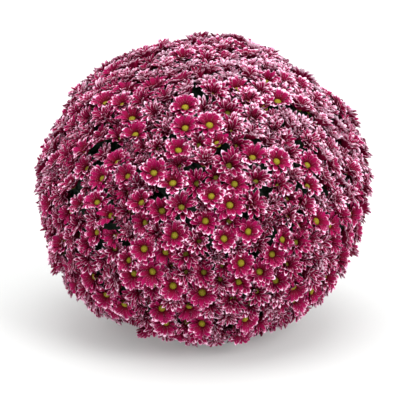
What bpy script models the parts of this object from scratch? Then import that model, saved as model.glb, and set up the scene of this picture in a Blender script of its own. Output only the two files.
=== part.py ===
"""A ball-shaped pompon chrysanthemum, cut at the foot of its stem and set down on a surface.

One woody stem sends a curved branch to every side. Each branch passes into a leafy
shoot, and each shoot carries a spray of blooms. The sprays close up into one ball, with a
bare patch underneath where the stem comes out. Metres, +Z up, and the origin is the
middle of the stem's cut face, which stands on the surface.
"""

import math

import bmesh
import bpy
import numpy as np
from mathutils import Matrix, Vector
from mathutils.bvhtree import BVHTree

# The ball of blooms, over the petal tips.
BALL_WIDTH = 0.440
BALL_HEIGHT = 0.408
MIDDLE_HEIGHT = 0.188
BARE_ANGLE = math.radians(25)
# Swellings and hollows of the ball: azimuth, elevation, size as a share, width in degrees.
SWELLINGS = (
    (6, 21, 0.034, 14),
    (17, 48, -0.027, 10),
    (44, 69, 0.024, 13),
    (140, 64, -0.025, 12),
    (168, 38, 0.034, 11),
    (174, 22, -0.045, 10),
    (178, 8, 0.037, 9),
    (-178, -7, -0.029, 10),
    (-170, -34, 0.024, 14),
    (-145, -65, -0.055, 12),
    (-53, -71, -0.050, 10),
    (-2, -8, -0.014, 12),
    (-115, 12, 0.015, 25),
    (-50, -14, 0.012, 18),
    (75, 20, 0.020, 28),
    (110, -18, -0.020, 26),
)

# The blooms. Spacings are shares of the mean distance between two of them.
BLOOM_POINTS = 744
BLOOM_SEED = 7
BLOOM_SHIFT = 0.42
RELAX_ROUNDS = 8
RELAX_REACH = 1.15
RELAX_STEP = 0.3
# Azimuth and elevation of the wide open blooms on the front, and of the leafy gaps between blooms.
OPEN_BLOOMS = (
    (-109, -5), (-142, 42), (-121, 22), (-127, 16), (-107, 20), (-99, 28), (-100, 17), (-117, 32),
    (-97, 36), (-69, 53), (-49, 45), (-62, 23), (-87, 37), (-87, 13), (-81, 10), (-83, -1),
    (-75, 1), (-77, -10), (-77, -18), (-90, -22), (-100, -18), (-131, -28), (-63, -3), (-66, -8),
    (-49, 1), (-53, -24), (-127, 8), (-127, -2), (-114, -15), (-110, 10), (-99, 0), (-89, 5),
    (-106, -30), (-42, -28), (-98, 44), (-95, -29), (-90, -38), (-71, -37), (-115, -10), (-124, -32),
)
LEAFY_GAPS = ((-120, 8), (-120, 0), (-103, -9), (-104, 12), (-57, 42), (-83, 29), (-43, 57), (-141, 4))
UP_TURN = 0.24
LOOSE_TURN = 0.14
LEVEL_SPREAD = 0.005
TIP_SHARE = 0.88
LONGEST_PETAL = 0.0155
LEAST_PETAL_BASE = 0.0045
CUP_DEPTH = 0.0035
NOTCH_DEPTH = 0.0145
WIDE_NOTCH_DEPTH = 0.021
WIDE_NOTCH_ROOM = 0.006
EDGE_DEPTH = 0.026
NECK_DEPTH = 0.004

# The sprays that the blooms are grouped in.
SPRAY_COUNT = 20
SPRAY_SEED = 3
SPRAY_SHIFT = 0.12
SPRAY_ROUNDS = 5
SPRAY_GAP = 0.0007

# The stem and its branches.
STEM_RADIUS = 0.0105
STEM_TOP_RADIUS = 0.0050
STEM_SIDES = 10
FIRST_FORK = 0.036
LAST_FORK = 0.178
BRANCH_RADIUS = 0.0042
BRANCH_END = 0.096
BRANCH_RISE = 0.5
BRANCH_BEND = 0.4
BRANCH_CURVE_POINTS = 4
BRANCH_STRAIGHT_END = 0.006
STEM_ABOVE_FORK = 0.006

# The leafy shoots. The first leaf of each turns on from the last shoot's by the golden angle.
SHOOT_RADIUS = 0.0030
SHOOT_END_RADIUS = 0.0026
JOINT_GAP = 0.0003
REACH_RAYS = 12
LEAVES_PER_SHOOT = 3
LEAF_LENGTH = 0.052
LEAF_THICKNESS = 0.0016
LEAF_SLOPE = math.radians(57)
LEAF_FIRST = 0.022
LEAF_STEP = 0.009
LEAF_DROOP = 0.16
LEAF_TURN = 0.381966
# Half of the lobed outline: share of the length, and half width as a share of the length.
LEAF_OUTLINE = ((0.24, 0.045), (0.36, 0.27), (0.49, 0.14), (0.64, 0.29), (0.78, 0.13))
LEAF_NOTCH = 2
LEAF_RIB = (0.32, 0.66)

SHARP_ANGLE = math.radians(40)

MIDDLE = Vector((0.0, 0.0, MIDDLE_HEIGHT))


def clear_scene():
    for obj in list(bpy.data.objects):
        bpy.data.objects.remove(obj, do_unlink=True)


def new_material(name, colour, roughness):
    material = bpy.data.materials.new(name)
    material.use_nodes = True
    shader = material.node_tree.nodes["Principled BSDF"]
    shader.inputs["Base Color"].default_value = (*colour, 1.0)
    shader.inputs["Roughness"].default_value = roughness
    shader.inputs["Metallic"].default_value = 0.0
    material.diffuse_color = (*colour, 1.0)
    return material


def mesh_object(name, bm, material, collection):
    mesh = bpy.data.meshes.new(name)
    bm.to_mesh(mesh)
    bm.free()
    obj = bpy.data.objects.new(name, mesh)
    collection.objects.link(obj)
    mesh.materials.append(material)
    return obj


def golden_directions(count, lowest):
    """Even directions on a sphere, from straight up down to a height of lowest."""
    step = (1 - lowest) / count
    turn = math.pi * (3 - math.sqrt(5))
    heights = 1 - step * (np.arange(count) + 0.5)
    rings = np.sqrt(1 - heights**2)
    turns = turn * np.arange(count)
    return np.stack([rings * np.cos(turns), rings * np.sin(turns), heights], axis=1)


def aim(azimuth, elevation):
    """The direction that an azimuth and an elevation in degrees give."""
    side, rise = math.radians(azimuth), math.radians(elevation)
    return Vector((math.cos(side) * math.cos(rise), math.sin(side) * math.cos(rise), math.sin(rise)))


def natural_directions(count, lowest, seed, shift, held=(), clear=()):
    """Golden directions, shifted at random and then pushed apart where they crowd.

    The nearest ones to the held directions are put there and stay, and the rest keep clear of
    the clear ones. Gives the directions, the numbers of the held ones and the random draw.
    """
    draw = np.random.RandomState(seed)
    spacing = math.sqrt(2 * math.pi * (1 - lowest) / count * 2 / math.sqrt(3))
    points = golden_directions(count, lowest) + draw.normal(0, shift * spacing, (count, 3))
    points /= np.linalg.norm(points, axis=1)[:, None]
    fixed = []
    for direction in held:
        nearness = points @ np.array(direction)
        nearness[fixed] = -1
        fixed.append(int(nearness.argmax()))
        points[fixed[-1]] = direction
    extra = np.array(clear).reshape(-1, 3)
    itself = np.eye(count, count + len(extra))
    for _ in range(RELAX_ROUNDS):
        away = points[:, None] - np.concatenate([points, extra])[None]
        distance = np.linalg.norm(away, axis=2) + itself
        push = np.clip(RELAX_REACH * spacing - distance, 0, None) * (1 - itself) * RELAX_STEP / distance
        push[fixed] = 0
        points = points + (away * push[:, :, None]).sum(axis=1)
        points /= np.linalg.norm(points, axis=1)[:, None]
    return points, fixed, draw


def ball_radius(direction):
    """Distance from the middle to the petal tips in this direction."""
    across = math.hypot(direction.x, direction.y) / (BALL_WIDTH / 2)
    up = direction.z / (BALL_HEIGHT / 2)
    radius = 1 / math.hypot(across, up)
    swelling = 0.0
    for azimuth, elevation, size, width in SWELLINGS:
        angle = math.degrees(direction.angle(aim(azimuth, elevation)))
        swelling += size * math.exp(-0.5 * (angle / width) ** 2)
    return radius * (1 + swelling)


def at_depth(direction, depth):
    """The point below the petal tips by depth, never below the surface that the plant rests on."""
    reach = ball_radius(direction) - depth
    if direction.z < 0:
        reach = min(reach, -MIDDLE_HEIGHT / direction.z)
    return MIDDLE + direction * reach


class Blooms:
    """Where each bloom sits and faces, and the cell of the ball that it fills."""

    def __init__(self):
        opened = [aim(*place) for place in OPEN_BLOOMS]
        gaps = [aim(*place) for place in LEAFY_GAPS]
        points, _, draw = natural_directions(BLOOM_POINTS, -1.0, BLOOM_SEED, BLOOM_SHIFT, opened, gaps)
        self.direction = [Vector(p) for p in points]
        self.level = draw.uniform(0, LEVEL_SPREAD, BLOOM_POINTS)
        loose = draw.normal(0, LOOSE_TURN, (BLOOM_POINTS, 3))
        self.facing = [
            (d + Vector((0, 0, UP_TURN)) + Vector(turn)).normalized()
            for d, turn in zip(self.direction, loose)
        ]
        bare = -math.cos(BARE_ANGLE)
        self.built = [d.z > bare for d in self.direction]
        self.find_cells()

    def find_cells(self):
        """The corners of all cells, and each bloom's ring of them, from the hull of the blooms."""
        bm = bmesh.new()
        verts = [bm.verts.new(d) for d in self.direction]
        bm.verts.index_update()
        bmesh.ops.convex_hull(bm, input=verts)
        bmesh.ops.recalc_face_normals(bm, faces=bm.faces)
        bm.faces.index_update()
        self.corner = [face.normal.copy() for face in bm.faces]
        self.cell = [self.ring_of(vert) for vert in verts]
        bm.free()

    def ring_of(self, vert):
        """(corner, neighbour across the edge to the next corner) round a bloom, anticlockwise."""
        ring = []
        loop = vert.link_loops[0]
        for _ in vert.link_faces:
            before = loop.link_loop_prev
            ring.append((loop.face.index, before.vert.index))
            loop = before.link_loop_radial_next
        return ring


def group_blooms(blooms):
    """The axis of each spray, and its blooms, which are the ones nearest to that axis."""
    points, _, _ = natural_directions(SPRAY_COUNT, -math.cos(BARE_ANGLE), SPRAY_SEED, SPRAY_SHIFT)
    axes = [Vector(point) for point in points]
    for _ in range(SPRAY_ROUNDS):
        members = [[] for _ in axes]
        for i, direction in enumerate(blooms.direction):
            if blooms.built[i]:
                nearest = max(range(SPRAY_COUNT), key=lambda k: axes[k].dot(direction))
                members[nearest].append(i)
        axes = [sum((blooms.direction[i] for i in own), Vector()).normalized() for own in members]
    return axes, members


def tip_of(blooms, i, first, second):
    """The direction and depth of the petal tip that points at the edge between two corners, or None."""
    centre = blooms.direction[i]
    edge = blooms.corner[second] - blooms.corner[first]
    radius = ball_radius(centre)
    if edge.length * radius < LEAST_PETAL_BASE:
        return None
    middle = (blooms.corner[first] + blooms.corner[second]).normalized()
    reach = min(TIP_SHARE, LONGEST_PETAL / ((middle - centre).length * radius))
    direction = (centre + (middle - centre) * reach).normalized()
    outward = (direction - centre).length * radius
    along = (direction - centre).normalized()
    facing = blooms.facing[i]
    lean = outward * facing.dot(along) / facing.dot(centre)
    return direction, blooms.level[i] + lean


def corner_depth(blooms, corner, members):
    """How deep the notch between three blooms is. It is deeper where they stand apart."""
    apart = max((blooms.corner[corner] - blooms.direction[i]).length for i in members)
    apart *= BALL_WIDTH / 2
    share = min(1.0, max(0.0, (apart - LONGEST_PETAL) / WIDE_NOTCH_ROOM))
    return NOTCH_DEPTH + share * (WIDE_NOTCH_DEPTH - NOTCH_DEPTH)


def spray_relief(blooms, members, round_corner):
    """The closed solid of one spray: its blooms in relief, on a shallow body with a flat underside."""
    own = set(members)
    bm = bmesh.new()
    corner_verts = {}

    def corner_vert(corner):
        if corner not in corner_verts:
            near = [i for i in round_corner[corner] if i in own]
            others = [i for i in round_corner[corner] if i not in own]
            direction = blooms.corner[corner]
            depth = corner_depth(blooms, corner, round_corner[corner])
            if others:
                away = direction - blooms.direction[others[0]]
                inward = blooms.direction[near[0]] - direction if len(near) == 1 else away
                step = inward.normalized() * SPRAY_GAP / ball_radius(direction)
                direction = (direction + step).normalized()
                depth = EDGE_DEPTH
            corner_verts[corner] = bm.verts.new(at_depth(direction, depth))
        return corner_verts[corner]

    edge_loop = {}
    for i in members:
        depth = blooms.level[i] + CUP_DEPTH
        middle = bm.verts.new(at_depth(blooms.direction[i], depth))
        ring = blooms.cell[i]
        for (first, across), (second, _) in zip(ring, ring[1:] + ring[:1]):
            a, b = corner_vert(first), corner_vert(second)
            tip = tip_of(blooms, i, first, second)
            if tip is None:
                bm.faces.new((middle, a, b))
            else:
                point = bm.verts.new(at_depth(*tip))
                bm.faces.new((middle, a, point))
                bm.faces.new((middle, point, b))
                bm.faces.new((point, a, b))
            if across not in own:
                edge_loop[b] = a
    close_underside(bm, edge_loop)
    return bm


def close_underside(bm, edge_loop):
    """Closes the spray from below by one face over its edge, cut into triangles."""
    start = next(iter(edge_loop))
    loop = [start]
    while edge_loop[loop[-1]] is not start:
        loop.append(edge_loop[loop[-1]])
    if len(loop) != len(edge_loop):
        raise ValueError("a spray's edge is in more than one piece")
    axis = sum((vert.co - MIDDLE for vert in loop), Vector()).normalized()
    twin = {}
    for vert in loop:
        ray = vert.co - MIDDLE
        twin[bm.verts.new(ray / ray.dot(axis))] = vert
    underside = bm.faces.new(twin)
    underside.normal_update()
    bmesh.ops.triangulate(bm, faces=[underside], ngon_method="EAR_CLIP")
    for copy, vert in twin.items():
        copy.co = vert.co
    necks = []
    for edge in {edge for vert in twin for edge in vert.link_edges}:
        if len(edge.link_faces) == 2 and bm.edges.get([twin[vert] for vert in edge.verts]):
            necks.append(edge)
    for neck in necks:
        _, middle = bmesh.utils.edge_split(neck, neck.verts[0], 0.5)
        middle.co += (MIDDLE - middle.co).normalized() * NECK_DEPTH
    bmesh.ops.triangulate(bm, faces=[face for face in bm.faces if len(face.verts) > 3])
    bmesh.ops.weld_verts(bm, targetmap=twin)


def tube(points, radii, sides_resolution, name, collection):
    """A round stem along the points as a closed mesh, from a curve with a bevel."""
    curve = bpy.data.curves.new(name, "CURVE")
    curve.dimensions = "3D"
    curve.bevel_depth = 1.0
    curve.bevel_resolution = sides_resolution
    curve.use_fill_caps = True
    spline = curve.splines.new("POLY")
    spline.points.add(len(points) - 1)
    for spot, point, radius in zip(spline.points, points, radii):
        spot.co = (*point, 1.0)
        spot.radius = radius
    guide = bpy.data.objects.new(name + "_guide", curve)
    collection.objects.link(guide)
    bpy.context.view_layer.update()
    graph = bpy.context.evaluated_depsgraph_get()
    mesh = bpy.data.meshes.new_from_object(guide.evaluated_get(graph))
    bm = bmesh.new()
    bm.from_mesh(mesh)
    bmesh.ops.remove_doubles(bm, verts=bm.verts, dist=0.00001)
    bmesh.ops.recalc_face_normals(bm, faces=bm.faces)
    bm.to_mesh(mesh)
    bm.free()
    bpy.data.objects.remove(guide, do_unlink=True)
    obj = bpy.data.objects.new(name, mesh)
    collection.objects.link(obj)
    return obj


def join(base, others):
    """Fuses the others into base by one Boolean union, and removes them."""
    group = bpy.data.collections.new(base.name + "_joined")
    bpy.context.scene.collection.children.link(group)
    for other in others:
        for old in list(other.users_collection):
            old.objects.unlink(other)
        group.objects.link(other)
    union = base.modifiers.new("join", "BOOLEAN")
    union.operation = "UNION"
    union.operand_type = "COLLECTION"
    union.collection = group
    union.solver = "EXACT"
    bpy.context.view_layer.update()
    graph = bpy.context.evaluated_depsgraph_get()
    joined = bpy.data.meshes.new_from_object(base.evaluated_get(graph))
    base.modifiers.clear()
    base.data = joined
    for other in others:
        bpy.data.objects.remove(other, do_unlink=True)
    bpy.data.collections.remove(group)


def finish_green(obj, material):
    """Gives a joined piece its one material, smooth but for its sharp edges."""
    obj.data.materials.clear()
    obj.data.materials.append(material)
    obj.data.shade_smooth()
    obj.data.set_sharp_from_angle(angle=SHARP_ANGLE)


def leaf(name, collection):
    """One lobed leaf along +X from its stalk, thickest at the rib and thin at the rim."""
    bm = bmesh.new()

    def place(share, aside, height):
        sag = LEAF_DROOP * share**2
        return bm.verts.new(Vector((share, aside, -sag)) * LEAF_LENGTH + Vector((0, 0, height)))

    foot, point = place(0.0, 0.0, 0.0), place(1.0, 0.0, 0.0)
    rims = {side: [place(share, side * aside, 0.0) for share, aside in LEAF_OUTLINE] for side in (1, -1)}
    for height in (LEAF_THICKNESS / 2, -LEAF_THICKNESS / 2):
        low_rib, high_rib = (place(share, 0.0, height) for share in LEAF_RIB)
        for rim in rims.values():
            notch = rim[LEAF_NOTCH]
            bm.faces.new((low_rib, high_rib, notch))
            low_half = (foot, *rim[: LEAF_NOTCH + 1])
            high_half = (*rim[LEAF_NOTCH:], point)
            for rib, half in ((low_rib, low_half), (high_rib, high_half)):
                for near, far in zip(half, half[1:]):
                    bm.faces.new((rib, near, far))
    bmesh.ops.recalc_face_normals(bm, faces=bm.faces)
    mesh = bpy.data.meshes.new(name)
    bm.to_mesh(mesh)
    bm.free()
    obj = bpy.data.objects.new(name, mesh)
    collection.objects.link(obj)
    return obj


def across(axis):
    """Two directions at right angles to axis."""
    first = axis.orthogonal().normalized()
    return first, axis.cross(first).normalized()


def clear_reach(cap, axis, start, radius):
    """How far a shoot of this radius can go along axis before it meets the spray's underside."""
    tree = BVHTree.FromObject(cap, bpy.context.evaluated_depsgraph_get())
    first, second = across(axis)
    reaches = []
    for turn in range(REACH_RAYS):
        angle = turn * 2 * math.pi / REACH_RAYS
        rim = (first * math.cos(angle) + second * math.sin(angle)) * radius
        reaches.append(tree.ray_cast(start + rim, axis)[3])
    reaches.append(tree.ray_cast(start, axis)[3])
    return min(reaches)


def leafy_shoot(number, axis, cap, material, collection):
    """The green shoot that carries one spray, with its leaves fused on."""
    start = MIDDLE + axis * (BRANCH_END + JOINT_GAP)
    reach = clear_reach(cap, axis, start, SHOOT_END_RADIUS) - JOINT_GAP
    end = start + axis * reach
    name = f"leafy_shoot_{number:02d}"
    shoot = tube((start, end), (SHOOT_RADIUS, SHOOT_END_RADIUS), 1, name, collection)
    first, second = across(axis)
    leaves = []
    for k in range(LEAVES_PER_SHOOT):
        angle = 2 * math.pi * (k / LEAVES_PER_SHOOT + LEAF_TURN * number)
        outward = first * math.cos(angle) + second * math.sin(angle)
        along = (axis * math.cos(LEAF_SLOPE) + outward * math.sin(LEAF_SLOPE)).normalized()
        aside = axis.cross(along).normalized()
        turned = Matrix((along, aside, along.cross(aside))).transposed().to_4x4()
        blade = leaf(f"{name}_leaf_{k}", collection)
        foot = start + axis * (LEAF_FIRST + LEAF_STEP * k) - along * SHOOT_RADIUS * 0.5
        blade.matrix_world = Matrix.Translation(foot) @ turned
        leaves.append(blade)
    join(shoot, leaves)
    finish_green(shoot, material)


def branch_line(axis, fork):
    """The curved way from the stem at height fork to the start of the shoot along axis."""
    start = Vector((0, 0, fork))
    end = MIDDLE + axis * BRANCH_END
    run = (end - start).length
    leave = Vector((axis.x, axis.y, BRANCH_RISE)).normalized()
    handles = (start, start + leave * run * BRANCH_BEND, end - axis * run * BRANCH_BEND, end)
    line = []
    for n in range(BRANCH_CURVE_POINTS + 1):
        t = n / BRANCH_CURVE_POINTS
        weights = ((1 - t) ** 3, 3 * t * (1 - t) ** 2, 3 * t**2 * (1 - t), t**3)
        line.append(sum((h * w for h, w in zip(handles, weights)), Vector()))
    line.insert(-1, end - axis * BRANCH_STRAIGHT_END)
    return line


def stem_and_branches(axes, material, collection):
    """The cut stem with every branch fused to it, each branch from its own height."""
    height = LAST_FORK + STEM_ABOVE_FORK
    bm = bmesh.new()
    bmesh.ops.create_cone(
        bm,
        cap_ends=True,
        segments=STEM_SIDES,
        radius1=STEM_RADIUS,
        radius2=STEM_TOP_RADIUS,
        depth=height,
        matrix=Matrix.Translation((0, 0, height / 2)),
    )
    stem = mesh_object("stem", bm, material, collection)
    order = sorted(range(len(axes)), key=lambda k: axes[k].z)
    branches = []
    for place, k in enumerate(order):
        fork = FIRST_FORK + (LAST_FORK - FIRST_FORK) * place / (len(axes) - 1)
        line = branch_line(axes[k], fork)
        radii = np.linspace(BRANCH_RADIUS, SHOOT_RADIUS, len(line))
        branches.append(tube(line, radii, 1, f"branch_{k:02d}", collection))
    join(stem, branches)
    finish_green(stem, material)


def main():
    clear_scene()
    plant = bpy.data.collections.new("pompon_chrysanthemum")
    bpy.context.scene.collection.children.link(plant)
    petal = new_material("petals", (0.55, 0.02, 0.16), 0.55)
    green = new_material("leaves", (0.05, 0.12, 0.05), 0.6)
    wood = new_material("stem", (0.16, 0.15, 0.07), 0.75)

    blooms = Blooms()
    axes, members = group_blooms(blooms)
    round_corner = {}
    for i, cell in enumerate(blooms.cell):
        for corner, _ in cell:
            round_corner.setdefault(corner, []).append(i)

    stem_and_branches(axes, wood, plant)
    for k, axis in enumerate(axes):
        relief = spray_relief(blooms, members[k], round_corner)
        cap = mesh_object(f"bloom_spray_{k:02d}", relief, petal, plant)
        bpy.context.view_layer.update()
        leafy_shoot(k, axis, cap, green, plant)


main()
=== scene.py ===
import math

import bmesh
import bpy
import numpy as np
from mathutils import Matrix, Vector


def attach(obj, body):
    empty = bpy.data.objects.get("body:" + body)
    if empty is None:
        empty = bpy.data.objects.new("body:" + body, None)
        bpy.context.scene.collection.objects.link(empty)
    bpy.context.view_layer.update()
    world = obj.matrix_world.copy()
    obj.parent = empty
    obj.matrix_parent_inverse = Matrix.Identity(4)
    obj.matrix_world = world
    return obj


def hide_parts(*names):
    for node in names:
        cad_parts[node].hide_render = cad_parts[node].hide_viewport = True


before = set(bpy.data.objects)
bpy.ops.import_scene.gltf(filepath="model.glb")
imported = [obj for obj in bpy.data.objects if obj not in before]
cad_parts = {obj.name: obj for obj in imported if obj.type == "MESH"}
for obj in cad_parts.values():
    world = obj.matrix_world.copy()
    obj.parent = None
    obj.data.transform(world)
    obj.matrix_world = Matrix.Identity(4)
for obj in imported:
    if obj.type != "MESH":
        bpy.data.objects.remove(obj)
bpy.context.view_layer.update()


# The stem: one woody piece with its side branches, under a rough grey-green bark. It stands on
# its cut foot. The branches run to the sprays, so the places of all blooms and sprays come first,
# by the same rule that spaces them in the solids.

BALL_WIDTH = 0.440
BALL_HEIGHT = 0.408
MIDDLE = np.array((0.0, 0.0, 0.188))
BARELY_DOWN = -0.001
WHOLE_BALL = -1.0
BARE_ANGLE = math.radians(25)
LOWEST_BLOOM = -math.cos(BARE_ANGLE)
# Azimuth and elevation, then height as a share of the radius, and width.
SWELLINGS = (
    (6, 21, 0.034, 14), (17, 48, -0.027, 10), (44, 69, 0.024, 13), (140, 64, -0.025, 12),
    (168, 38, 0.034, 11), (174, 22, -0.045, 10), (178, 8, 0.037, 9), (-178, -7, -0.029, 10),
    (-170, -34, 0.024, 14), (-145, -65, -0.055, 12), (-53, -71, -0.050, 10),
    (-2, -8, -0.014, 12), (-115, 12, 0.015, 25), (-50, -14, 0.012, 18), (75, 20, 0.020, 28),
    (110, -18, -0.020, 26),
)
BLOOM_POINTS = 744
BLOOM_SEED = 7
BLOOM_SHIFT = 0.42
RELAX_ROUNDS = 8
RELAX_REACH = 1.15
RELAX_STEP = 0.3
# Azimuth and elevation of the most open blooms, and of the gaps where leaves show.
OPEN_BLOOMS = (
    (-109, -5), (-142, 42), (-121, 22), (-127, 16), (-107, 20), (-99, 28), (-100, 17),
    (-117, 32), (-97, 36), (-69, 53), (-49, 45), (-62, 23), (-87, 37), (-87, 13), (-81, 10),
    (-83, -1), (-75, 1), (-77, -10), (-77, -18), (-90, -22), (-100, -18), (-131, -28),
    (-63, -3), (-66, -8), (-49, 1), (-53, -24), (-127, 8), (-127, -2), (-114, -15), (-110, 10),
    (-99, 0), (-89, 5), (-106, -30), (-42, -28), (-98, 44), (-95, -29), (-90, -38), (-71, -37),
    (-115, -10), (-124, -32),
)
LEAFY_GAPS = (
    (-120, 8), (-120, 0), (-103, -9), (-104, 12), (-57, 42), (-83, 29), (-43, 57), (-141, 4),
)
UP_TURN = 0.24
LOOSE_TURN = 0.14
LEVEL_SPREAD = 0.005
SPRAY_COUNT = 20
SPRAY_SEED = 3
SPRAY_SHIFT = 0.12
SPRAY_ROUNDS = 5


def unit(rows):
    return rows / np.linalg.norm(rows, axis=-1, keepdims=True)


def aim(azimuth, elevation):
    """The direction at an azimuth and elevation in degrees."""
    side, rise = math.radians(azimuth), math.radians(elevation)
    level = math.cos(rise)
    return np.array((math.cos(side) * level, math.sin(side) * level, math.sin(rise)))


def golden_directions(count, lowest):
    """Directions spread evenly over the ball, down to the lowest height."""
    step = (1 - lowest) / count
    turns = math.pi * (3 - math.sqrt(5)) * np.arange(count)
    heights = 1 - step * (np.arange(count) + 0.5)
    rings = np.sqrt(1 - heights**2)
    return np.stack([rings * np.cos(turns), rings * np.sin(turns), heights], axis=1)


def natural_directions(count, lowest, seed, shift, held=(), clear=()):
    """Golden directions, shifted at random, then pushed apart where they crowd."""
    draw = np.random.RandomState(seed)
    spacing = math.sqrt(2 * math.pi * (1 - lowest) / count * 2 / math.sqrt(3))
    points = unit(golden_directions(count, lowest) + draw.normal(0, shift * spacing, (count, 3)))
    fixed = []
    for direction in held:
        nearness = points @ direction
        nearness[fixed] = -1
        fixed.append(int(nearness.argmax()))
        points[fixed[-1]] = direction
    extra = np.array(clear).reshape(-1, 3)
    itself = np.eye(count, count + len(extra))
    for _ in range(RELAX_ROUNDS):
        away = points[:, None] - np.concatenate([points, extra])[None]
        distance = np.linalg.norm(away, axis=2) + itself
        crowding = np.clip(RELAX_REACH * spacing - distance, 0, None) * (1 - itself)
        push = crowding * RELAX_STEP / distance
        push[fixed] = 0
        points = unit(points + (away * push[:, :, None]).sum(axis=1))
    return points, fixed, draw


def ball_radius(directions):
    """Distance from the middle to the petal tips, for rows of directions."""
    across = np.hypot(directions[:, 0], directions[:, 1]) / (BALL_WIDTH / 2)
    radius = 1 / np.hypot(across, directions[:, 2] / (BALL_HEIGHT / 2))
    swelling = np.zeros(len(directions))
    for azimuth, elevation, height, width in SWELLINGS:
        angle = np.degrees(np.arccos(np.clip(directions @ aim(azimuth, elevation), -1, 1)))
        swelling += height * np.exp(-0.5 * (angle / width) ** 2)
    return radius * (1 + swelling)


def at_depth(directions, depths):
    """The points below the petal tips by these depths, never below what the plant rests on."""
    reach = ball_radius(directions) - depths
    to_floor = -MIDDLE[2] / np.minimum(directions[:, 2], BARELY_DOWN)
    reach = np.where(directions[:, 2] < 0, np.minimum(reach, to_floor), reach)
    return MIDDLE + directions * reach[:, None]


directions, opened, draw = natural_directions(
    BLOOM_POINTS, WHOLE_BALL, BLOOM_SEED, BLOOM_SHIFT,
    [aim(*place) for place in OPEN_BLOOMS], [aim(*place) for place in LEAFY_GAPS],
)
levels = draw.uniform(0, LEVEL_SPREAD, BLOOM_POINTS)
loose = draw.normal(0, LOOSE_TURN, (BLOOM_POINTS, 3))
facings = unit(directions + np.array((0, 0, UP_TURN)) + loose)
built = np.flatnonzero(directions[:, 2] > LOWEST_BLOOM)
axes, _, _ = natural_directions(SPRAY_COUNT, LOWEST_BLOOM, SPRAY_SEED, SPRAY_SHIFT)
for _ in range(SPRAY_ROUNDS):
    nearest = (directions[built] @ axes.T).argmax(axis=1)
    sums = [directions[built[nearest == k]].sum(axis=0) for k in range(SPRAY_COUNT)]
    axes = unit(np.array(sums))
sprays = [built[nearest == k] for k in range(SPRAY_COUNT)]

NOISE_ROUGHNESS = 0.55
NOISE_MIDDLE = (0.35, 0.65)
BUMP_STRENGTH = 0.6
BARK_DARK = (0.035, 0.040, 0.016)
BARK_PALE = (0.140, 0.130, 0.060)
BARK_STRETCH = (1.0, 1.0, 0.15)
BARK_GRAIN = (900.0, 4.0)  # scale and detail, as for every grain below
BARK_RELIEF = 0.0008
BARK_ROUGHNESS = 0.75
BARK_GLOSS = 0.5


def new_finish(name):
    """An empty material, its node tree and its shader."""
    finish = bpy.data.materials.new(name)
    finish.use_nodes = True
    return finish, finish.node_tree, finish.node_tree.nodes["Principled BSDF"]


def object_place(tree):
    return tree.nodes.new("ShaderNodeTexCoord").outputs["Object"]


def feed(tree, term, socket):
    """Puts another node's output, a colour or a number into an input."""
    if isinstance(term, bpy.types.NodeSocket):
        tree.links.new(term, socket)
    else:
        socket.default_value = (*term, 1.0) if isinstance(term, tuple) else term


def noise(tree, vector, scale, detail):
    texture = tree.nodes.new("ShaderNodeTexNoise")
    texture.inputs["Scale"].default_value = scale
    texture.inputs["Detail"].default_value = detail
    texture.inputs["Roughness"].default_value = NOISE_ROUGHNESS
    tree.links.new(vector, texture.inputs["Vector"])
    return texture.outputs["Fac"]


def ranged(tree, value, ends, results=(0.0, 1.0), smooth=False):
    """The value moved from between the ends to between the results, and held beyond them."""
    step = tree.nodes.new("ShaderNodeMapRange")
    step.interpolation_type = "SMOOTHSTEP" if smooth else "LINEAR"
    for name, term in zip(("From Min", "From Max", "To Min", "To Max"), (*ends, *results)):
        feed(tree, term, step.inputs[name])
    tree.links.new(value, step.inputs["Value"])
    return step.outputs["Result"]


def worked(tree, operation, first, second):
    """One Math node over two outputs or numbers."""
    maths = tree.nodes.new("ShaderNodeMath")
    maths.operation = operation
    feed(tree, first, maths.inputs[0])
    feed(tree, second, maths.inputs[1])
    return maths.outputs["Value"]


def blended(tree, share, first, second):
    """Colour first at share 0 and second at share 1."""
    mix = tree.nodes.new("ShaderNodeMix")
    mix.data_type = "RGBA"
    tree.links.new(share, mix.inputs["Factor"])
    for name, colour in (("A", first), ("B", second)):
        feed(tree, colour, next(s for s in mix.inputs if s.name == name and s.type == "RGBA"))
    return next(s for s in mix.outputs if s.type == "RGBA")


def surfaced(tree, shader, colour, roughness, gloss):
    """Gives a shader its colour, its roughness, and how strongly it mirrors light."""
    tree.links.new(colour, shader.inputs["Base Color"])
    shader.inputs["Roughness"].default_value = roughness
    shader.inputs["Specular IOR Level"].default_value = gloss


def bumped(tree, shader, height, relief):
    bump = tree.nodes.new("ShaderNodeBump")
    bump.inputs["Distance"].default_value = relief
    bump.inputs["Strength"].default_value = BUMP_STRENGTH
    tree.links.new(height, bump.inputs["Height"])
    tree.links.new(bump.outputs["Normal"], shader.inputs["Normal"])


bark, tree, shader = new_finish("stem_bark")
stretched = tree.nodes.new("ShaderNodeMapping")
stretched.inputs["Scale"].default_value = BARK_STRETCH
tree.links.new(object_place(tree), stretched.inputs["Vector"])
grain = noise(tree, stretched.outputs["Vector"], *BARK_GRAIN)
colour = blended(tree, ranged(tree, grain, NOISE_MIDDLE), BARK_DARK, BARK_PALE)
surfaced(tree, shader, colour, BARK_ROUGHNESS, BARK_GLOSS)
bumped(tree, shader, grain, BARK_RELIEF)

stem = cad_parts["stem"]
stem.data.materials.clear()
stem.data.materials.append(bark)


# The leafy shoots. Each branch ends in a soft green shoot with three lobed leaves, which
# carries one spray. A leaf is one thin blade, thickest at its rib, bent down to its tip.

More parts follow.
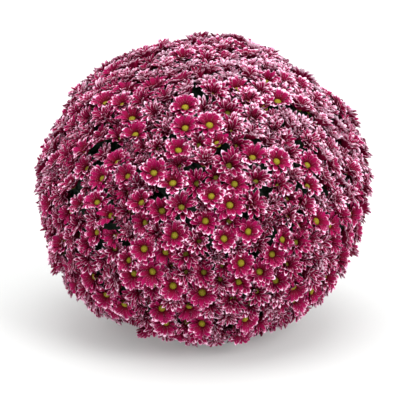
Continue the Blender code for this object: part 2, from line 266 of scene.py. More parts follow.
BRANCH_END = 0.096
SHOOT_RADIUS = 0.0030
SHOOT_MARGIN = 1.2
SHOOT_START = 0.004
LEAVES_PER_SHOOT = 3
LEAF_LENGTH = 0.052
LEAF_SLOPE = math.radians(57)
LEAF_FIRST = 0.022
LEAF_STEP = 0.009
LEAF_TURN = 0.381966
LEAF_LIFT = 0.12
LEAF_CURL = -0.45
LEAF_CUP = 0.5
LEAF_MIDRIB = 0.016
# Places along the leaf and half widths there, as shares of its length.
LEAF_OUTLINE = (
    (0.0, 0.02), (0.20, 0.05), (0.30, 0.24), (0.38, 0.27), (0.46, 0.14), (0.56, 0.26),
    (0.66, 0.29), (0.75, 0.15), (0.86, 0.14), (0.96, 0.06), (1.0, 0.0),
)
LEAF_DARK = (0.004, 0.011, 0.007)
LEAF_PALE = (0.026, 0.054, 0.032)
LEAF_PATCHES = (120.0, 4.0)
LEAF_GRAIN = (900.0, 3.0)
LEAF_RELIEF = 0.0004
LEAF_ROUGHNESS = 0.55
LEAF_GLOSS = 0.2
WELD = 0.00001
LEAST_CURL = 0.001
LEAST_WIDTH = 1e-6
STALK_PULL = 0.35
ODD_DIRECTION = np.array((0.013, 0.007, 0.011))
FLOOR_EASE = 0.006


def blank_from(name, bm):
    blank = bpy.data.meshes.new(name)
    bm.to_mesh(blank)
    bm.free()
    return blank


def blade_blank(outline, crown):
    """A flat blade along +X, one long, closed round its rim and thickest along its middle.

    It keeps where each point lies along and across, and which faces are the upper ones.
    """
    bm = bmesh.new()
    last = len(outline) - 1
    bmesh.ops.create_grid(bm, x_segments=last, y_segments=2, size=1)
    along = bm.verts.layers.float.new("along")
    across = bm.verts.layers.float.new("across")
    upper = bm.faces.layers.float.new("upper")
    for vert in bm.verts:
        step = round((vert.co.x + 1) / 2 * last)
        side = round(vert.co.y)
        share, half = outline[step]
        vert[along] = share
        vert[across] = side
        vert.co = (share, side * half, crown * (1 - abs(side)) if 0 < step < last else 0.0)
    halves = bm.verts[:] + bm.edges[:] + bm.faces[:]
    bmesh.ops.mirror(bm, geom=halves, axis="Z", merge_dist=WELD)
    bmesh.ops.remove_doubles(bm, verts=bm.verts, dist=WELD)
    bmesh.ops.recalc_face_normals(bm, faces=bm.faces)
    for face in bm.faces:
        face.smooth = True
        face[upper] = 1.0 if face.calc_center_median().z > 0 else 0.0
    for edge in bm.edges:
        edge.smooth = len({face[upper] for face in edge.link_faces}) < 2
    bm.normal_update()
    return blank_from("blade", bm)


def stalk_blank(name, sides, cuts):
    """A round stalk along +X, one long and one in radius."""
    bm = bmesh.new()
    bmesh.ops.create_cone(bm, cap_ends=True, segments=sides, radius1=1, radius2=1, depth=1)
    rails = [e for e in bm.edges if abs(e.verts[0].co.z - e.verts[1].co.z) > 0.5]
    bmesh.ops.subdivide_edges(bm, edges=rails, cuts=cuts)
    for vert in bm.verts:
        vert.co = (vert.co.z + 0.5, vert.co.x, vert.co.y)
    bmesh.ops.recalc_face_normals(bm, faces=bm.faces)
    for face in bm.faces:
        face.smooth = abs(face.normal.x) < 0.5
    return blank_from(name, bm)


def repeated(name, blank, count):
    """One mesh of count copies of the blank, and its points as rows for each copy."""
    carrier = bpy.data.objects.new(name, blank)
    bpy.context.scene.collection.objects.link(carrier)
    if count > 1:
        row = carrier.modifiers.new("row", "ARRAY")
        row.count = count
        row.use_relative_offset = False
        row.use_constant_offset = True
        row.constant_offset_displace = (0.0, 0.0, 0.0)
    bpy.context.view_layer.update()
    finished = carrier.evaluated_get(bpy.context.evaluated_depsgraph_get())
    mesh = bpy.data.meshes.new_from_object(finished)
    carrier.modifiers.clear()
    carrier.data = mesh
    mesh.name = name
    points = np.empty(len(mesh.vertices) * 3, np.float32)
    mesh.vertices.foreach_get("co", points)
    return carrier, points.reshape(count, -1, 3).astype(float)


def bend(points, length, width, rise, curl, cup, twist=0.0, sway=0.0):
    """Flat blades bent in their own frames: x outward, y to the side, z up.

    A blade starts at the angle rise, turns by curl to its tip, lifts its edges by cup, winds
    by twist and leans to one side by sway. Angles are in radians, one value for each blade.
    """
    def column(value):
        return np.broadcast_to(np.asarray(value, float), points.shape[:1])[:, None]

    length, width, rise, cup, twist, sway = map(column, (length, width, rise, cup, twist, sway))
    curl = np.where(abs(column(curl)) < LEAST_CURL, LEAST_CURL, column(curl))
    share, side, thick = points[..., 0], points[..., 1] * width, points[..., 2] * length
    angle = rise + curl * share
    out = length * (np.sin(angle) - np.sin(rise)) / curl
    up = length * (np.cos(rise) - np.cos(angle)) / curl
    lift = thick + cup * side**2 / np.maximum(width * 0.5, LEAST_WIDTH)
    wind = twist * share
    sideways = side * np.cos(wind) - lift * np.sin(wind) + sway * length * share**2
    lift = side * np.sin(wind) + lift * np.cos(wind)
    return np.stack([out - np.sin(angle) * lift, sideways, up + np.cos(angle) * lift], axis=2)


def stand(points, origins, outs, ups):
    """Blades put at their origins, with x along outs and z as near as can be to ups."""
    outs = unit(np.asarray(outs, float))
    sides = unit(np.cross(ups, outs))
    tops = np.cross(outs, sides)
    turned = points[..., :1] * outs[:, None] + points[..., 1:2] * sides[:, None]
    return np.asarray(origins)[:, None] + (turned + points[..., 2:] * tops[:, None])


def swept(points, starts, leave, arrive, ends, radius):
    """Stalks drawn from start to end, leaving and arriving along the given directions."""
    share = points[..., 0:1]
    rest = 1 - share
    run = np.linalg.norm(ends - starts, axis=1)[:, None, None]
    a, d = starts[:, None], ends[:, None]
    b = a + leave[:, None] * run * STALK_PULL
    c = d - arrive[:, None] * run * STALK_PULL
    spot = rest**3 * a + 3 * share * rest**2 * b + 3 * share**2 * rest * c + share**3 * d
    along = unit(3 * rest**2 * (b - a) + 6 * share * rest * (c - b) + 3 * share**2 * (d - c))
    guide = unit(np.cross(ends - starts, leave + ODD_DIRECTION))[:, None]
    first = unit(np.cross(along, guide))
    second = np.cross(along, first)
    return spot + radius * (points[..., 1:2] * first + points[..., 2:3] * second)


def put_points(obj, points):
    """Moves a mesh's points to their places, eased up off the surface under the plant."""
    low = points[..., 2] < FLOOR_EASE
    points[..., 2][low] = FLOOR_EASE * np.exp(points[..., 2][low] / FLOOR_EASE - 1)
    obj.data.vertices.foreach_set("co", points.astype(np.float32).ravel())
    obj.data.update()


def joined(name, pieces):
    """Several objects made into one."""
    bpy.ops.object.select_all(action="DESELECT")
    for piece in pieces:
        piece.select_set(True)
    bpy.context.view_layer.objects.active = pieces[0]
    bpy.ops.object.join()
    pieces[0].name = name
    return pieces[0]


def in_slot(obj, finish, slot, *nodes):
    """Gives a piece its finish, hangs it under the root body and hides the solids it stands for;
    the slot is not used.
    """
    obj.data.materials.clear()
    obj.data.materials.append(finish)
    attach(obj, "root")
    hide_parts(*nodes)


leaf_green, tree, shader = new_finish("leaf_green")
place = object_place(tree)
patches = noise(tree, place, *LEAF_PATCHES)
colour = blended(tree, ranged(tree, patches, NOISE_MIDDLE), LEAF_DARK, LEAF_PALE)
surfaced(tree, shader, colour, LEAF_ROUGHNESS, LEAF_GLOSS)
bumped(tree, shader, noise(tree, place, *LEAF_GRAIN), LEAF_RELIEF)

leaf_blank = blade_blank(LEAF_OUTLINE, LEAF_MIDRIB)
shoot_blank = stalk_blank("shoot", sides=8, cuts=3)
leaf_numbers = np.arange(LEAVES_PER_SHOOT)
shoot_ends = []
for k, axis in enumerate(axes):
    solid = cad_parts[f"leafy_shoot_{k:02d}"]
    cad = np.array([vert.co for vert in solid.data.vertices]) - MIDDLE
    aside = np.linalg.norm(cad - (cad @ axis)[:, None] * axis, axis=1)
    shoot_ends.append(float((cad @ axis)[aside < SHOOT_RADIUS * SHOOT_MARGIN].max()))
    first = np.array(Vector(axis).orthogonal().normalized())
    second = np.cross(axis, first)
    turns = 2 * math.pi * (leaf_numbers / LEAVES_PER_SHOOT + LEAF_TURN * k)
    outward = np.cos(turns)[:, None] * first + np.sin(turns)[:, None] * second
    outs = axis * math.cos(LEAF_SLOPE) + outward * math.sin(LEAF_SLOPE)
    feet = MIDDLE + axis * (BRANCH_END + LEAF_FIRST + LEAF_STEP * leaf_numbers)[:, None]
    leaves, points = repeated("leaves", leaf_blank, LEAVES_PER_SHOOT)
    bent = bend(points, LEAF_LENGTH, LEAF_LENGTH, LEAF_LIFT, LEAF_CURL, LEAF_CUP)
    put_points(leaves, stand(bent, feet, outs, np.broadcast_to(axis, outs.shape)))
    shoot, points = repeated("shoot", shoot_blank, 1)
    foot, top = MIDDLE + axis * (BRANCH_END - SHOOT_START), MIDDLE + axis * shoot_ends[-1]
    put_points(shoot, swept(points, foot[None], axis[None], axis[None], top[None], SHOOT_RADIUS))
    piece = joined(f"shoot_leaves_{k:02d}", [leaves, shoot])
    in_slot(piece, leaf_green, "leaves", f"leafy_shoot_{k:02d}")


# The flower stalks. Each bloom has its own thin green stalk, drawn out from the shoot like the
# rib of a fan, with two small leaves beside it and a green cup under its petals. How ripe each
# bloom is comes first, and so do the late blooms that fill the free spots between the others.

RIPE_SEED = 21
RIPE_STEPS = (0.0, 0.5, 1.0)
NEIGHBOURS = 5
SIZE_SHARE = 1.03
SIZE_LIMITS = (0.95, 1.20)
BY_ROOM = 0.5
HALF_OPEN_SHARE = 0.80
LUCK_STEPS = (0.0, 1 - HALF_OPEN_SHARE, 1.001 - HALF_OPEN_SHARE, 1.0)
RIPENESS_BY_LUCK = (0.08, 0.25, 0.38, 0.66)
FRONT = (-90, 15)
FRONT_EDGE = 0.80
OPEN_SHARE_FRONT = 0.24
OPEN_SHARE_ROUND = 0.34
OPEN_RIPENESS = (0.92, 0.62)
MOST_OPEN_RIPENESS = (0.88, 1.0)
NODDING = 0.14
OPEN_NODDING = 0.4
UP_MORE = 0.14
RELIEF = 0.0065
OPEN_LEVELS = 0.7
BLOOM_DEPTHS = (0.0155, 0.0150, 0.0060)
BLOOM_REACH = (0.0076, 0.0110, 0.0150)
GAP_DEPTH = 0.012
GAP_KEPT = 0.0045
LATE_TRIES = 9000
LATE_LOWEST = -0.90
LATE_MOST = 400
LATE_ROOM = 0.0015
LATE_OVERLAP = 0.0050
LATE_ROOMS = (0.008, 0.0140)
LATE_LEVELS = (0.0075, 0.0020)
LATE_LUCK = (-0.10, 0.15)
LATE_SIZES = (0.6, 1.1)
STALK_RADIUS = 0.0011
STALK_END = 0.006
STALK_SPREAD = 0.8
FORK_FIRST = 0.004
FORK_DROP = 0.12
CUP_SIDES = 8
CUP_FOOT_RADIUS = 0.0012
CUP_RIM_RADIUS = 0.0045
CUP_HEIGHT = 0.006
CUP_MIDDLE = -0.0035
SMALL_LEAF_OUTLINE = (
    (0.0, 0.02), (0.30, 0.22), (0.44, 0.13), (0.60, 0.27), (0.76, 0.14), (1.0, 0.0),
)
SMALL_LEAVES = 2
SMALL_LEAF_LENGTH = 0.044
SMALL_LEAF_SIZES = (0.75, 1.1)
SMALL_LEAF_DEPTHS = (0.022, 0.042)
SMALL_LEAF_LEANS = (-0.35, 0.10)
SMALL_LEAF_LIFT = 0.2
SMALL_LEAF_CURLS = (-0.9, -0.2)
SMALL_LEAF_CUP = 0.4

fate = np.random.RandomState(RIPE_SEED)
apart = np.sort(np.linalg.norm(directions[:, None] - directions[None], axis=2), axis=1)
apart = apart[:, 1:1 + NEIGHBOURS]
crowd = apart.mean(axis=1) / apart.mean()
sizes = np.clip(SIZE_SHARE * crowd, *SIZE_LIMITS)
by_room = crowd.argsort().argsort() / BLOOM_POINTS
luck = BY_ROOM * by_room + (1 - BY_ROOM) * fate.uniform(size=BLOOM_POINTS)
luck = luck.argsort().argsort() / BLOOM_POINTS
ripeness = np.interp(luck, LUCK_STEPS, RIPENESS_BY_LUCK)
in_front = directions @ aim(*FRONT) > FRONT_EDGE
open_share = np.where(in_front, OPEN_SHARE_FRONT, OPEN_SHARE_ROUND)
chance = fate.uniform(size=BLOOM_POINTS) / open_share
ripeness = np.where(chance < 1, np.interp(chance, (0.0, 1.0), OPEN_RIPENESS), ripeness)
ripeness[opened] = fate.uniform(*MOST_OPEN_RIPENESS, len(opened))
nodding = fate.normal(0, NODDING, (BLOOM_POINTS, 3))
nodding[opened] *= OPEN_NODDING
facings = unit(facings + nodding + np.array((0, 0, UP_MORE)))
levels += fate.uniform(-RELIEF, RELIEF, BLOOM_POINTS)
leafy_gaps = at_depth(np.array([aim(*place) for place in LEAFY_GAPS]), GAP_DEPTH)


def late_places():
    """Directions where a free spot is left between the blooms, and how wide it is."""
    spots = golden_directions(LATE_TRIES, LATE_LOWEST)
    places = at_depth(spots, GAP_DEPTH)
    kept = np.linalg.norm(places[:, None] - leafy_gaps[None], axis=2).min(axis=1) > GAP_KEPT
    spots, places = spots[kept], places[kept]
    blooms = at_depth(directions[built], GAP_DEPTH)
    reach = np.interp(ripeness[built], RIPE_STEPS, BLOOM_REACH) * sizes[built]
    free = (np.linalg.norm(places[:, None] - blooms[None], axis=2) - reach).min(axis=1)
    late, room = [], []
    while free.max() > LATE_ROOM and len(late) < LATE_MOST:
        pick = free.argmax()
        late.append(spots[pick])
        room.append(min(free[pick] + LATE_OVERLAP, LATE_ROOMS[1]))
        free = np.minimum(free, np.linalg.norm(places - places[pick], axis=1) - room[-1])
    return np.array(late), np.array(room)


late, late_room = late_places()
late_numbers = BLOOM_POINTS + np.arange(len(late))
late_spray = (late @ axes.T).argmax(axis=1)
sprays = [np.concatenate([own, late_numbers[late_spray == k]]) for k, own in enumerate(sprays)]
built = np.concatenate([built, late_numbers])
directions = np.concatenate([directions, late])
late_loose = fate.normal(0, LOOSE_TURN, (len(late), 3))
late_facings = unit(late + np.array((0, 0, UP_TURN + UP_MORE)) + late_loose)
facings = np.concatenate([facings, late_facings])
levels = np.concatenate([levels, np.interp(late_room, LATE_ROOMS, LATE_LEVELS)])
late_ripeness = np.interp(late_room, BLOOM_REACH, RIPE_STEPS) + fate.uniform(*LATE_LUCK, len(late))
late_reach = np.interp(late_ripeness, RIPE_STEPS, BLOOM_REACH)
ripeness = np.concatenate([ripeness, late_ripeness])
sizes = np.concatenate([sizes, np.clip(late_room / late_reach, *LATE_SIZES)])
is_late = np.arange(len(directions)) >= BLOOM_POINTS
bloom_depths = np.interp(ripeness, RIPE_STEPS, BLOOM_DEPTHS)
seats = at_depth(directions, bloom_depths + levels * (1 - OPEN_LEVELS * ripeness))


def cup_blank():
    """The green cup under the petals, from its stalk up to its rim, along +Z."""
    bm = bmesh.new()
    bmesh.ops.create_cone(
        bm, cap_ends=True, segments=CUP_SIDES,
        radius1=CUP_FOOT_RADIUS, radius2=CUP_RIM_RADIUS, depth=CUP_HEIGHT,
    )
    bmesh.ops.translate(bm, verts=bm.verts, vec=(0, 0, CUP_MIDDLE))
    for face in bm.faces:
        face.smooth = len(face.verts) == 4
    return blank_from("cup", bm)


small_leaf = blade_blank(SMALL_LEAF_OUTLINE, LEAF_MIDRIB)
stalk = stalk_blank("stalk", sides=4, cuts=2)
cup = cup_blank()
for k, own in enumerate(sprays):
    count = len(own)
    axis = axes[k]
    lateral = np.linalg.norm(directions[own] - axis, axis=1)
    forks = np.clip(shoot_ends[k] - FORK_DROP * lateral, BRANCH_END + FORK_FIRST, None)
    starts = MIDDLE + axis * forks[:, None]
    ends = seats[own] - facings[own] * STALK_END
    leave = unit(axis + STALK_SPREAD * (directions[own] - axis))
    stalks, points = repeated(f"stalks_{k:02d}", stalk, count)
    put_points(stalks, swept(points, starts, leave, facings[own], ends, STALK_RADIUS))
    cups, points = repeated(f"cups_{k:02d}", cup, count)
    sideways = unit(np.cross(facings[own], fate.normal(size=(count, 3))))
    put_points(cups, stand(points, seats[own], sideways, facings[own]))
    many = count * SMALL_LEAVES
    behind = directions[np.repeat(own, SMALL_LEAVES)]
    feet = at_depth(behind, fate.uniform(*SMALL_LEAF_DEPTHS, many))
    around = unit(np.cross(behind, fate.normal(size=(many, 3))))
    outs = unit(around + behind * fate.uniform(*SMALL_LEAF_LEANS, many)[:, None])
    blades, points = repeated(f"blades_{k:02d}", small_leaf, many)
    size = SMALL_LEAF_LENGTH * fate.uniform(*SMALL_LEAF_SIZES, many)
    curls = fate.uniform(*SMALL_LEAF_CURLS, many)
    bent = bend(points, size, size, SMALL_LEAF_LIFT, curls, SMALL_LEAF_CUP)
    put_points(blades, stand(bent, feet, outs, behind))
    piece = joined(f"flower_stalks_{k:02d}", [stalks, cups, blades])
    in_slot(piece, leaf_green, "leaves", f"bloom_spray_{k:02d}")


# The petals. Each bloom has an outer and an inner row, and a young one a closed crown over its
# middle too. A petal is a thin soft strap with a blunt tip, fixed at its narrow foot: crimson
# inside and darker at its foot, partly its own colour and partly painted shade, paler on its
# back, and white at its tip and along its rim. Blooms on the upper right, the lit side, are
# painted lighter: painted light.

PETAL_SEED = 5
PETAL_OUTLINE = ((0.0, 0.0), (0.30, 0.78), (0.66, 1.0), (0.90, 0.70), (1.0, 0.0))
PETAL_CROWN = 0.02
# Each row has values for a young, a half-open and an open bloom, and all rows list them in the
# order of the first: how many petals, and then what shapes each of them.
OUTER_ROW = (
    (16, 16, 17),         # petals
    (18.5, 21.5, 17.4),   # length in millimetres
    (2.1, 2.4, 3.4),      # half width in millimetres
    (76, 70, 38),         # rise in degrees
    (-20, -32, -34),      # curl in degrees
    (2.0, 2.6, 3.0),      # start, out from the middle, in millimetres
    (-1.6, -1.8, -2.0),   # start, up from the seat, in millimetres
    (0.75, 0.65, 0.22),   # cup
)
INNER_ROW = (
    (11, 11, 12), (15.5, 18.0, 15.4), (1.9, 2.2, 3.3), (84, 78, 48),
    (-12, -28, -32), (1.8, 2.4, 2.8), (-0.8, -1.0, -1.2), (0.85, 0.75, 0.28),
)
CROWN_ROW = (
    (6, 6, 6), (9.0, 13.0, 11.0), (1.8, 2.2, 2.2), (84, 80, 60),
    (30, -8, 0), (1.4, 2.0, 2.6), (-0.3, -0.4, -0.4), (0.6, 0.6, 0.5),
)
CROWN_BELOW = 0.40
LATE_PETALS = 0.62
MM_IN_METRE = 1000
BLOOM_SIZES = (0.96, 1.06)
PETAL_LENGTHS = (0.91, 1.07)
PETAL_WIDTHS = (0.9, 1.1)
PETAL_CUPS = (0.6, 1.3)
LOOSE_BEARING = 0.11
LOOSE_DEGREES = 7
LOOSE_TWIST = 0.24
LOOSE_SWAY = 0.05
DROOP = math.radians(7)
DROOP_LESS = 0.65
STEEPEST = math.radians(80)
NEAR_REACH = 0.052
SHARE_OF_GAP = 0.78
SHARE_BY_RIPENESS = 0.12
OVER_LATE = 1.3
BESIDE = 0.3
GAP_BESIDE = 0.5
GAP_RADIUS = 0.001
GAP_LEAST = 0.006
FARTHEST = 0.03
NO_LIMIT = 1.0
# Painted light: blooms on the upper right of the ball, the lit side, get lighter petals, less so
# when open. The spread is random paleness, and late blooms are a little darker.
PAINTED_LIGHT_SIDE = aim(-30, 50)
PAINTED_LIGHT_MORE = 0.13
PAINTED_LIGHT_POWER = 3
PAINTED_LIGHT_LESS_OPEN = 0.5
PALE_SPREAD = 0.02
LATE_PALE = -0.07

rng = np.random.RandomState(PETAL_SEED)


def rooms(bloom, bearings, first, second):
    """How far out the petals of a bloom can reach before its neighbours' begin."""
    away = seats[built] - seats[bloom]
    distance = np.linalg.norm(away, axis=1)
    near = (distance > 0) & (distance < NEAR_REACH)
    flat = np.stack([away[near] @ first, away[near] @ second], axis=1)
    reach = np.linalg.norm(flat, axis=1)
    share = SHARE_OF_GAP + SHARE_BY_RIPENESS * (ripeness[bloom] - ripeness[built[near]])
    share -= SHARE_BY_RIPENESS * is_late[bloom]
    share = np.where(is_late[built[near]] & ~is_late[bloom], OVER_LATE, share)
    slant = np.cos(bearings[:, None] - np.arctan2(flat[:, 1], flat[:, 0]))
    limit = np.where(slant > BESIDE, reach * share / np.maximum(slant, BESIDE), NO_LIMIT)
    hollow = leafy_gaps - seats[bloom]
    hollow = hollow[np.linalg.norm(hollow, axis=1) < NEAR_REACH]
    flat = np.stack([hollow @ first, hollow @ second], axis=1)
    slant = np.cos(bearings[:, None] - np.arctan2(flat[:, 1], flat[:, 0]))
    rim = np.maximum(np.linalg.norm(flat, axis=1) - GAP_RADIUS, GAP_LEAST)
    rim = np.where(slant > GAP_BESIDE, rim / np.maximum(slant, GAP_BESIDE), NO_LIMIT)
    nearest = np.minimum(limit.min(axis=1), rim.min(axis=1, initial=NO_LIMIT))
    return np.minimum(nearest, FARTHEST)


def petal_rows(bloom):
    """What shapes a bloom's petals: one line of values for each thing, one value a petal."""
    ripe = ripeness[bloom]
    rows = [OUTER_ROW, INNER_ROW] + ([CROWN_ROW] if ripe < CROWN_BELOW else [])
    turn = rng.uniform(0, 2 * math.pi)
    scale = sizes[bloom] * rng.uniform(*BLOOM_SIZES)
    made = []
    for number, row in enumerate(rows):
        values = (np.interp(ripe, RIPE_STEPS, steps) for steps in row)
        count, length, half, rise, curl, out, up, cupped = values
        count = round(count * (LATE_PETALS if is_late[bloom] else 1))
        bearing = turn + 2 * math.pi * (np.arange(count) + 0.5 * number) / count
        made.append(np.stack([
            bearing + rng.normal(0, LOOSE_BEARING, count),
            length * scale * rng.uniform(*PETAL_LENGTHS, count) / MM_IN_METRE,
            half * scale * rng.uniform(*PETAL_WIDTHS, count) / MM_IN_METRE,
            np.radians(rise + rng.normal(0, LOOSE_DEGREES, count)),
            np.radians(curl + rng.normal(0, LOOSE_DEGREES, count)),
            np.full(count, out * scale / MM_IN_METRE),
            np.full(count, up * scale / MM_IN_METRE),
            cupped * rng.uniform(*PETAL_CUPS, count),
            rng.normal(0, LOOSE_TWIST, count),
            rng.normal(0, LOOSE_SWAY, count),
            np.full(count, DROOP * (1 - DROOP_LESS * ripe) * (number == 0)),
        ]))
    return np.concatenate(made, axis=1)


def mark(obj, name, values):
    """A value for each copy, kept on all its points."""
    each = len(obj.data.vertices) // len(values)
    layer = obj.data.attributes.new(name, "FLOAT", "POINT")
    layer.data.foreach_set("value", np.repeat(values, each).astype(np.float32))


def attribute(tree, name):
    source = tree.nodes.new("ShaderNodeAttribute")
    source.attribute_name = name
    return source.outputs["Fac"]


PETAL_ROUGHNESS = 0.55
PETAL_GLOSS = 0.04
PETAL_GRAIN = (1400.0, 2.0)
STREAK_STRETCH = (2.2, 1.4, 60.0)
STREAK_GRAIN = (2.0, 2.0)
STREAK_RELIEF = 0.0006
STREAK_SHARE = 0.15
STREAK_COLOUR = (0.34, 0.006, 0.075)
WOBBLE_FROM = (0.7, 1.3)
WOBBLE = (-0.09, 0.09)
TONE_SHIFT = (-0.08, 0.08)
TONE_SHARE = 0.35
TONE_COLOUR = (0.13, 0.003, 0.012)
# RIM and TIP pairs are for a young and an open bloom: where along the petal its white starts
# and is full, and how wide the rim is, as a share of the half width.
RIM_RIPENESS = (0.4, 0.95)
RIM_START = (0.58, 0.76)
RIM_FULL = (0.86, 1.0)
RIM_WIDTH_RIPENESS = (0.3, 1.0)
RIM_WIDTH = (0.178, 0.165)
RIM_SOLID = 0.6
RIM_FADE = 0.02
GROWN_RIPENESS = (0.3, 0.95)
TIP_START = (0.87, 0.86)
TIP_FULL = (0.99, 1.0)
# The petal is darker at its foot, round the disc: partly its own deeper crimson and partly painted
# shade in the bloom's hollow.
SHADED_FOOT_PLACES = (0.18, 0.52)
BODY_PLACES = (0.40, 0.80)
SHADED_YOUNG_FOOT, SHADED_OPEN_FOOT = (0.030, 0.0, 0.004), (0.075, 0.004, 0.003)
YOUNG_MIDDLE, YOUNG_END = (0.105, 0.003, 0.014), (0.21, 0.004, 0.036)
OPEN_MIDDLE, OPEN_END = (0.20, 0.003, 0.028), (0.33, 0.004, 0.080)
TO_PINK, TO_WHITE = (0.0, 0.5), (0.45, 1.0)
RIM_PINK, RIM_WHITE = (0.72, 0.12, 0.35), (0.97, 0.68, 0.83)
BACK_RIM_PLACES, BACK_RIM_EDGE = (0.55, 0.75), (0.10, 0.24)
BACK_TIP_PLACES = (0.82, 0.97)
BACK_TO_WHITE = (0.45, 0.95)
BACK_BODY, BACK_PINK, BACK_WHITE = (0.23, 0.004, 0.038), (0.70, 0.16, 0.36), (0.97, 0.72, 0.84)
DOWN = (1.0, 0.0)

petal, tree, shader = new_finish("petal")
along, across, upper, ripe, tone, pale_and_painted_light = (
    attribute(tree, name) for name in ("along", "across", "upper", "ripe", "tone", "pale_and_painted_light")
)
edge = worked(tree, "SUBTRACT", 1.0, worked(tree, "ABSOLUTE", across, 0.0))
lengthwise = tree.nodes.new("ShaderNodeCombineXYZ")
for letter, source, stretch in zip("XYZ", (across, along, tone), STREAK_STRETCH):
    tree.links.new(worked(tree, "MULTIPLY", source, stretch), lengthwise.inputs[letter])
streaks = noise(tree, lengthwise.outputs["Vector"], *STREAK_GRAIN)
fine = noise(tree, object_place(tree), *PETAL_GRAIN)

wobble = ranged(tree, worked(tree, "ADD", streaks, fine), WOBBLE_FROM, WOBBLE)
spot = worked(tree, "ADD", along, wobble)
spot = worked(tree, "ADD", spot, ranged(tree, tone, (0.0, 1.0), TONE_SHIFT))
# Paleness moves the white down the petal; part of it is painted light on the lit upper right side.
spot = worked(tree, "ADD", spot, pale_and_painted_light)
rim_places = [ranged(tree, ripe, RIM_RIPENESS, places) for places in (RIM_START, RIM_FULL)]
rim_width = ranged(tree, ripe, RIM_WIDTH_RIPENESS, RIM_WIDTH)
rim_width = worked(tree, "MULTIPLY", ranged(tree, spot, rim_places), rim_width)
rim_solid = worked(tree, "MULTIPLY", rim_width, RIM_SOLID)
rim_end = worked(tree, "ADD", rim_width, RIM_FADE)
rim = ranged(tree, edge, (rim_solid, rim_end), DOWN)
tip_places = [ranged(tree, ripe, GROWN_RIPENESS, places) for places in (TIP_START, TIP_FULL)]
tip = ranged(tree, spot, tip_places, smooth=True)
white = worked(tree, "MAXIMUM", rim, tip)

# Darker at the foot: partly the petal's own colour, partly painted shade round the disc.
foot = ranged(tree, along, SHADED_FOOT_PLACES, smooth=True)
body = ranged(tree, along, BODY_PLACES)
young = blended(tree, foot, SHADED_YOUNG_FOOT, blended(tree, body, YOUNG_MIDDLE, YOUNG_END))
grown = blended(tree, foot, SHADED_OPEN_FOOT, blended(tree, body, OPEN_MIDDLE, OPEN_END))
inside = blended(tree, ranged(tree, ripe, GROWN_RIPENESS), young, grown)
darker = ranged(tree, tone, (0.0, 1.0), (0.0, TONE_SHARE))
inside = blended(tree, darker, inside, TONE_COLOUR)
streaked = ranged(tree, streaks, NOISE_MIDDLE, (0.0, STREAK_SHARE))
inside = blended(tree, streaked, inside, STREAK_COLOUR)
inside = blended(tree, ranged(tree, white, TO_PINK), inside, RIM_PINK)
inside = blended(tree, ranged(tree, white, TO_WHITE), inside, RIM_WHITE)

back_edge = ranged(tree, edge, BACK_RIM_EDGE, DOWN)
back_rim = worked(tree, "MULTIPLY", ranged(tree, spot, BACK_RIM_PLACES), back_edge)
back_white = worked(tree, "MAXIMUM", back_rim, ranged(tree, spot, BACK_TIP_PLACES))
back = blended(tree, ranged(tree, back_white, TO_PINK), BACK_BODY, BACK_PINK)
back = blended(tree, ranged(tree, back_white, BACK_TO_WHITE), back, BACK_WHITE)
surfaced(tree, shader, blended(tree, upper, back, inside), PETAL_ROUGHNESS, PETAL_GLOSS)
bumped(tree, shader, streaks, STREAK_RELIEF)

petal_blank = blade_blank(PETAL_OUTLINE, PETAL_CROWN)
for k, own in enumerate(sprays):
    shapes, origins, outs, ups, ripes, pales_and_painted_light = [], [], [], [], [], []
    for bloom in own:
        facing = facings[bloom]
        first = np.array(Vector(facing).orthogonal().normalized())
        second = np.cross(facing, first)
        bearing, length, half, rise, curl, out, up, cupped, twist, sway, droop = petal_rows(bloom)
        room = rooms(bloom, bearing, first, second)
        tightest = np.arccos(np.clip((room - out) / length, math.cos(STEEPEST), 1.0))
        rise = rise + np.maximum(-droop, tightest - (rise + curl / 2))
        outward = np.cos(bearing)[:, None] * first + np.sin(bearing)[:, None] * second
        # Painted light: lighter on the lit upper right side of the ball, plus a random spread, and
        # less for late blooms.
        side = max(directions[bloom] @ PAINTED_LIGHT_SIDE, 0.0) ** PAINTED_LIGHT_POWER
        paler_and_painted_light = (1 - PAINTED_LIGHT_LESS_OPEN * ripeness[bloom]) * PAINTED_LIGHT_MORE * side
        paler_and_painted_light += rng.normal(LATE_PALE * is_late[bloom], PALE_SPREAD)
        shapes.append(np.stack([length, half, rise, curl, cupped, twist, sway]))
        origins.append(seats[bloom] + outward * out[:, None] + facing * up[:, None])
        outs.append(outward)
        ups.append(np.broadcast_to(facing, outward.shape))
        ripes.append(np.full(len(bearing), ripeness[bloom]))
        pales_and_painted_light.append(np.full(len(bearing), paler_and_painted_light))
    shape = np.concatenate(shapes, axis=1)
    piece, points = repeated(f"bloom_petals_{k:02d}", petal_blank, shape.shape[1])
    standing = (np.concatenate(rows) for rows in (origins, outs, ups))
    put_points(piece, stand(bend(points, *shape), *standing))
    mark(piece, "ripe", np.concatenate(ripes))
    mark(piece, "tone", rng.uniform(size=shape.shape[1]))
    # The paleness of each petal, which holds the painted light on the upper right side.
    mark(piece, "pale_and_painted_light", np.concatenate(pales_and_painted_light))
    in_slot(piece, petal, "petals", f"bloom_spray_{k:02d}")


# The discs. The middle of each open bloom is a low firm dome, packed with tiny tubes and set
# between the petals' feet. It is yellow when open and greener while young.

DISC_RADII = (0.0026, 0.0040, 0.0046)
DISC_START = 0.92
DISC_TILT = 0.6
DISC_CUT = -0.20
DISC_FLATNESS = 0.55
DISC_SHOWS = 0.40
UNDERSIDE = -0.9
FLORET_RISE = 0.16
FLORET_YOUNG, FLORET_OPEN = (0.26, 0.26, 0.07), (0.52, 0.42, 0.020)
# The colour between the florets is the tips' colour darkened: painted shade in the crevices.
SHADED_BETWEEN_YOUNG, SHADED_BETWEEN_OPEN = (0.04, 0.06, 0.02), (0.16, 0.13, 0.010)
DISC_ROUGHNESS = 0.6
DISC_GLOSS = 0.15


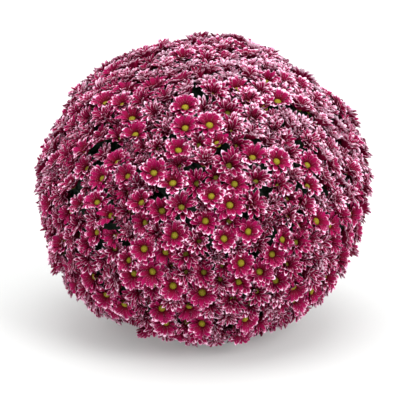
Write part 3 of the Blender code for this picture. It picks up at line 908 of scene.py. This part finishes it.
def disc_blank():
    """A low dome of radius one, each of its faces raised to a floret."""
    bm = bmesh.new()
    layer = bm.verts.layers.float.new("floret")
    bmesh.ops.create_icosphere(bm, subdivisions=2, radius=DISC_START)
    tilt = Matrix.Rotation(DISC_TILT, 3, "X")
    bmesh.ops.rotate(bm, verts=bm.verts, cent=(0, 0, 0), matrix=tilt)
    bmesh.ops.bisect_plane(
        bm, geom=bm.verts[:] + bm.edges[:] + bm.faces[:],
        plane_co=(0, 0, DISC_CUT), plane_no=(0, 0, -1), clear_outer=True,
    )
    bmesh.ops.holes_fill(bm, edges=bm.edges)
    bm.normal_update()
    domes = [face for face in bm.faces if face.normal.z > UNDERSIDE]
    for vert in bmesh.ops.poke(bm, faces=domes, offset=FLORET_RISE)["verts"]:
        vert[layer] = 1.0
    for face in bm.faces:
        face.smooth = True
    for vert in bm.verts:
        vert.co.z *= DISC_FLATNESS
    return blank_from("disc", bm)


floret, tree, shader = new_finish("disc_floret")
ripe = attribute(tree, "ripe")
tips = blended(tree, ripe, FLORET_YOUNG, FLORET_OPEN)
between = blended(tree, ripe, SHADED_BETWEEN_YOUNG, SHADED_BETWEEN_OPEN)
# Painted shade: the disc darkens from each floret's tip to the crevices between them.
colour = blended(tree, attribute(tree, "floret"), between, tips)
surfaced(tree, shader, colour, DISC_ROUGHNESS, DISC_GLOSS)

disc = disc_blank()
radii = np.interp(ripeness, RIPE_STEPS, DISC_RADII) * sizes
for k, own in enumerate(sprays):
    own = own[ripeness[own] > DISC_SHOWS]
    piece, points = repeated(f"bloom_discs_{k:02d}", disc, len(own))
    sideways = unit(np.cross(facings[own], rng.normal(size=(len(own), 3))))
    put_points(piece, stand(points * radii[own][:, None, None], seats[own], sideways, facings[own]))
    mark(piece, "ripe", ripeness[own])
    in_slot(piece, floret, "discs", f"bloom_spray_{k:02d}")


# The studio. A wide white floor under an even white sky, three soft lamps, of which the one
# beside the camera is the strongest, and the camera at the photograph's height and distance.

FLOOR_REACH = 30.0
FLOOR_COLOUR = (0.56, 0.57, 0.565, 1.0)
FLOOR_GLOW = (1.0, 1.0, 0.99, 1.0)
FLOOR_GLOW_STRENGTH = 0.22
SKY_STRENGTH = 1.03
LAMPS = (
    # name, azimuth, elevation and softness in degrees, strength
    ("overhead", -82, 76, 40, 1.3),
    ("beside_camera", -44, 35, 30, 1.6),
    ("other_side", -150, 40, 40, 0.4),
)
VIEW_AIM = Vector(aim(-90, 15))
VIEW_DISTANCE = 2.0
VIEW_POINT = Vector((-0.0027, 0.0, 0.176))
LENS = 134.0
SENSOR_WIDTH = 36.0
NEAREST_SEEN = 0.05

bm = bmesh.new()
bmesh.ops.create_grid(bm, x_segments=1, y_segments=1, size=FLOOR_REACH)
floor = bpy.data.objects.new("floor", blank_from("floor", bm))
bpy.context.scene.collection.objects.link(floor)
white_floor, tree, shader = new_finish("white_floor")
shader.inputs["Base Color"].default_value = FLOOR_COLOUR
shader.inputs["Emission Color"].default_value = FLOOR_GLOW
shader.inputs["Emission Strength"].default_value = FLOOR_GLOW_STRENGTH
shader.inputs["Roughness"].default_value = 1.0
shader.inputs["Specular IOR Level"].default_value = 0.0
floor.data.materials.append(white_floor)

world = bpy.data.worlds.new("studio")
world.use_nodes = True
sky = world.node_tree.nodes["Background"]
sky.inputs["Color"].default_value = (1.0, 1.0, 1.0, 1.0)
sky.inputs["Strength"].default_value = SKY_STRENGTH
bpy.context.scene.world = world

for name, azimuth, elevation, softness, strength in LAMPS:
    lamp = bpy.data.lights.new(name, "SUN")
    lamp.angle = math.radians(softness)
    lamp.energy = strength
    hanging = bpy.data.objects.new(name, lamp)
    hanging.rotation_euler = Vector(aim(azimuth, elevation)).to_track_quat("Z", "Y").to_euler()
    bpy.context.scene.collection.objects.link(hanging)

camera_data = bpy.data.cameras.new("camera")
camera_data.lens = LENS
camera_data.sensor_width = SENSOR_WIDTH
camera_data.clip_start = NEAREST_SEEN
camera = bpy.data.objects.new("camera", camera_data)
camera.location = VIEW_POINT + VIEW_AIM * VIEW_DISTANCE
camera.rotation_euler = (VIEW_POINT - camera.location).to_track_quat("-Z", "Y").to_euler()
bpy.context.scene.collection.objects.link(camera)
bpy.context.scene.camera = camera
bpy.context.scene.view_settings.view_transform = "Standard"
